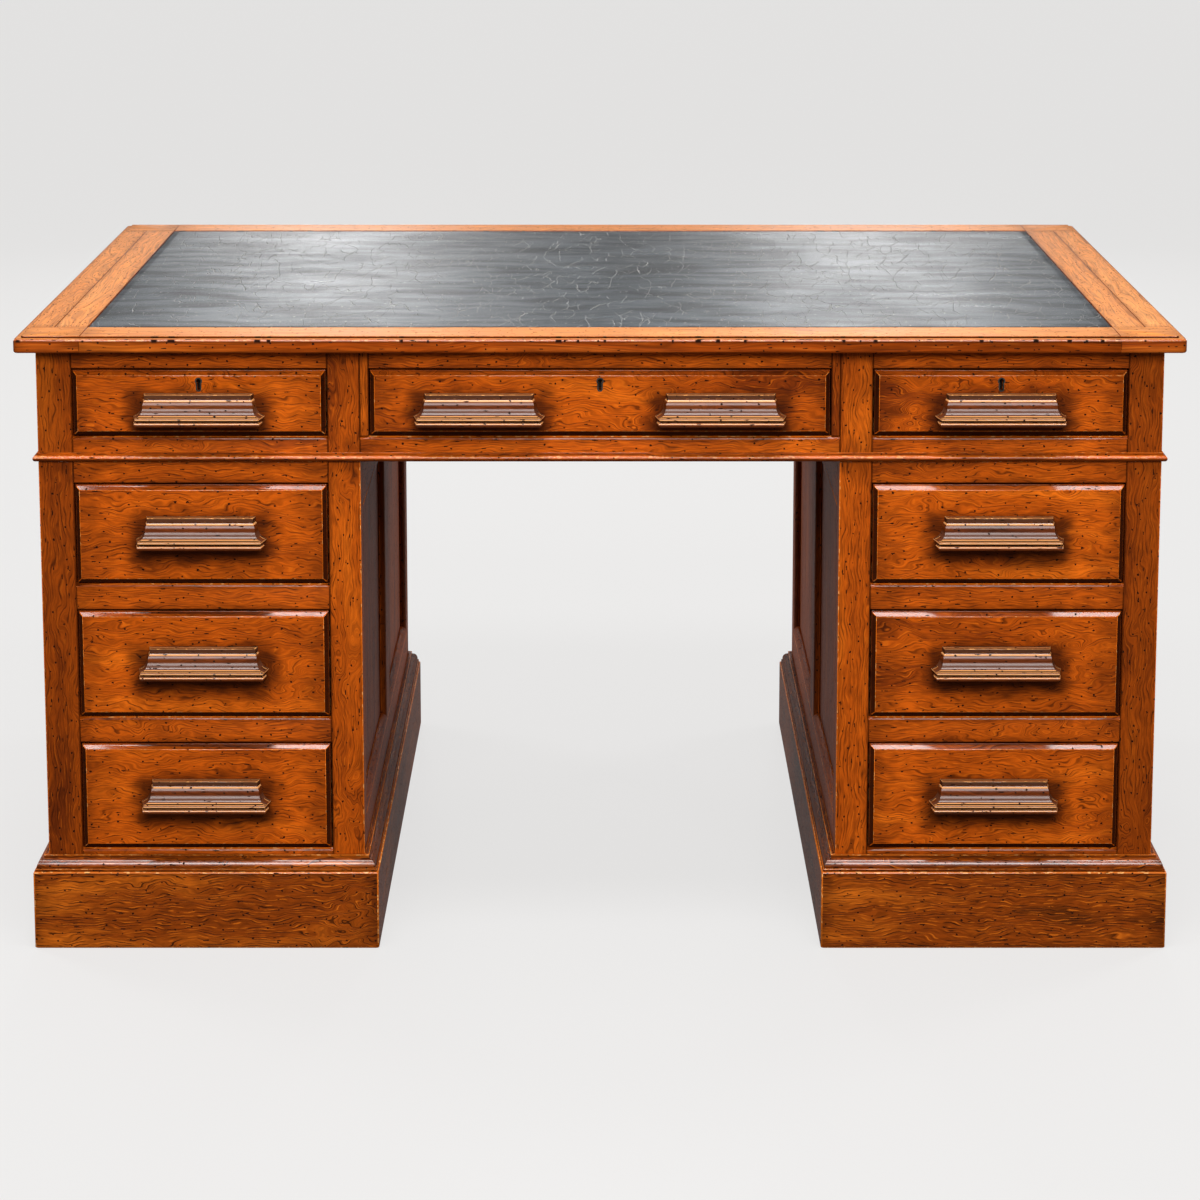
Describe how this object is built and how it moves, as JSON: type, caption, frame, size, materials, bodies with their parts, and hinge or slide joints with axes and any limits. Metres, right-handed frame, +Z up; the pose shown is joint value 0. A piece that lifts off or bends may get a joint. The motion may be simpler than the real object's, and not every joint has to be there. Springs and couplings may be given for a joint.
{
  "type": "partners desk",
  "caption": "Wooden partners desk with a leather-lined top, frieze drawers, an open kneehole and two pedestals with drawers at the front and hinged cupboards at the rear.",
  "frame": {"origin": "on the floor, under the middle of the top", "axes": "+Z up; +X to the right of a sitter at the drawer front; the drawer front faces -Y, the cupboards face +Y"},
  "size_m": [1.44, 1.125, 0.783],
  "materials": {
    "case_wood": "stained red-brown and varnished, horizontal and upright grain",
    "top_wood": "stained lighter and varnished",
    "pull_wood": "stained and worn, varnished",
    "plinth_wood": "stained yellow-brown and varnished",
    "inner_wood": "planed, unvarnished",
    "leather": "polished dark slate hide with fine creases",
    "lock_metal": "dull",
    "brass": "aged"
  },
  "bodies": {
    "carcass": {"top_border": "top_wood", "top_core": "inner_wood", "leather_inset": "leather", "frieze_posts": "case_wood", "frieze_rails": "case_wood", "frieze_interior": "inner_wood", "waist_bead": "case_wood", "pedestal_posts": "case_wood", "pedestal_rails": "case_wood", "side_panels": "case_wood", "pedestal_interiors": "inner_wood", "plinth_boards": "plinth_wood", "plinth_mouldings": "plinth_wood", "door_hinges_fixed": "brass"},
    "left_frieze_bolt_body": {"left_frieze_bolt": "lock_metal"},
    "left_frieze_drawer": {"left_frieze_drawer_front": "case_wood", "left_frieze_drawer_box": "inner_wood", "left_frieze_drawer_pull": "pull_wood", "left_frieze_lock": "lock_metal"},
    "centre_frieze_bolt_body": {"centre_frieze_bolt": "lock_metal"},
    "centre_frieze_drawer": {"centre_frieze_drawer_front": "case_wood", "centre_frieze_drawer_box": "inner_wood", "centre_frieze_drawer_pull": "pull_wood", "centre_frieze_lock": "lock_metal"},
    "right_frieze_bolt_body": {"right_frieze_bolt": "lock_metal"},
    "right_frieze_drawer": {"right_frieze_drawer_front": "case_wood", "right_frieze_drawer_box": "inner_wood", "right_frieze_drawer_pull": "pull_wood", "right_frieze_lock": "lock_metal"},
    "rear_left_frieze_drawer": {"rear_left_frieze_drawer_front": "case_wood", "rear_left_frieze_drawer_box": "inner_wood", "rear_left_frieze_drawer_pull": "pull_wood"},
    "rear_centre_frieze_drawer": {"rear_centre_frieze_drawer_front": "case_wood", "rear_centre_frieze_drawer_box": "inner_wood", "rear_centre_frieze_drawer_pull": "pull_wood"},
    "rear_right_frieze_drawer": {"rear_right_frieze_drawer_front": "case_wood", "rear_right_frieze_drawer_box": "inner_wood", "rear_right_frieze_drawer_pull": "pull_wood"},
    "left_upper_drawer": {"left_upper_drawer_front": "case_wood", "left_upper_drawer_box": "inner_wood", "left_upper_drawer_pull": "pull_wood"},
    "left_middle_drawer": {"left_middle_drawer_front": "case_wood", "left_middle_drawer_box": "inner_wood", "left_middle_drawer_pull": "pull_wood"},
    "left_lower_drawer": {"left_lower_drawer_front": "case_wood", "left_lower_drawer_box": "inner_wood", "left_lower_drawer_pull": "pull_wood"},
    "right_upper_drawer": {"right_upper_drawer_front": "case_wood", "right_upper_drawer_box": "inner_wood", "right_upper_drawer_pull": "pull_wood"},
    "right_middle_drawer": {"right_middle_drawer_front": "case_wood", "right_middle_drawer_box": "inner_wood", "right_middle_drawer_pull": "pull_wood"},
    "right_lower_drawer": {"right_lower_drawer_front": "case_wood", "right_lower_drawer_box": "inner_wood", "right_lower_drawer_pull": "pull_wood"},
    "left_cupboard_door": {"left_door": "case_wood", "left_door_hinge_leaves": "brass"},
    "right_cupboard_door": {"right_door": "case_wood", "right_door_hinge_leaves": "brass"}
  },
  "joints": [
    {"name": "left_frieze_bolt_slide", "type": "slide", "parent": "left_frieze_drawer", "child": "left_frieze_bolt_body", "axis": [0, 0, 1], "range_m": [0, 0.006]},
    {"name": "left_frieze_drawer_slide", "type": "slide", "parent": "carcass", "child": "left_frieze_drawer", "axis": [0, -1, 0], "range_m": [0, 0.38]},
    {"name": "centre_frieze_bolt_slide", "type": "slide", "parent": "centre_frieze_drawer", "child": "centre_frieze_bolt_body", "axis": [0, 0, 1], "range_m": [0, 0.006]},
    {"name": "centre_frieze_drawer_slide", "type": "slide", "parent": "carcass", "child": "centre_frieze_drawer", "axis": [0, -1, 0], "range_m": [0, 0.38]},
    {"name": "right_frieze_bolt_slide", "type": "slide", "parent": "right_frieze_drawer", "child": "right_frieze_bolt_body", "axis": [0, 0, 1], "range_m": [0, 0.006]},
    {"name": "right_frieze_drawer_slide", "type": "slide", "parent": "carcass", "child": "right_frieze_drawer", "axis": [0, -1, 0], "range_m": [0, 0.38]},
    {"name": "rear_left_frieze_drawer_slide", "type": "slide", "parent": "carcass", "child": "rear_left_frieze_drawer", "axis": [0, 1, 0], "range_m": [0, 0.38]},
    {"name": "rear_centre_frieze_drawer_slide", "type": "slide", "parent": "carcass", "child": "rear_centre_frieze_drawer", "axis": [0, 1, 0], "range_m": [0, 0.38]},
    {"name": "rear_right_frieze_drawer_slide", "type": "slide", "parent": "carcass", "child": "rear_right_frieze_drawer", "axis": [0, 1, 0], "range_m": [0, 0.38]},
    {"name": "left_upper_drawer_slide", "type": "slide", "parent": "carcass", "child": "left_upper_drawer", "axis": [0, -1, 0], "range_m": [0, 0.38]},
    {"name": "left_middle_drawer_slide", "type": "slide", "parent": "carcass", "child": "left_middle_drawer", "axis": [0, -1, 0], "range_m": [0, 0.38]},
    {"name": "left_lower_drawer_slide", "type": "slide", "parent": "carcass", "child": "left_lower_drawer", "axis": [0, -1, 0], "range_m": [0, 0.38]},
    {"name": "right_upper_drawer_slide", "type": "slide", "parent": "carcass", "child": "right_upper_drawer", "axis": [0, -1, 0], "range_m": [0, 0.38]},
    {"name": "right_middle_drawer_slide", "type": "slide", "parent": "carcass", "child": "right_middle_drawer", "axis": [0, -1, 0], "range_m": [0, 0.38]},
    {"name": "right_lower_drawer_slide", "type": "slide", "parent": "carcass", "child": "right_lower_drawer", "axis": [0, -1, 0], "range_m": [0, 0.38]},
    {"name": "left_door_hinge", "type": "hinge", "parent": "carcass", "child": "left_cupboard_door", "pos_m": [-0.652, 0.5292, 0.361], "axis": [0, 0, 1], "range_deg": [0, 110]},
    {"name": "right_door_hinge", "type": "hinge", "parent": "carcass", "child": "right_cupboard_door", "pos_m": [0.652, 0.5292, 0.361], "axis": [0, 0, -1], "range_deg": [0, 110]}
  ]
}
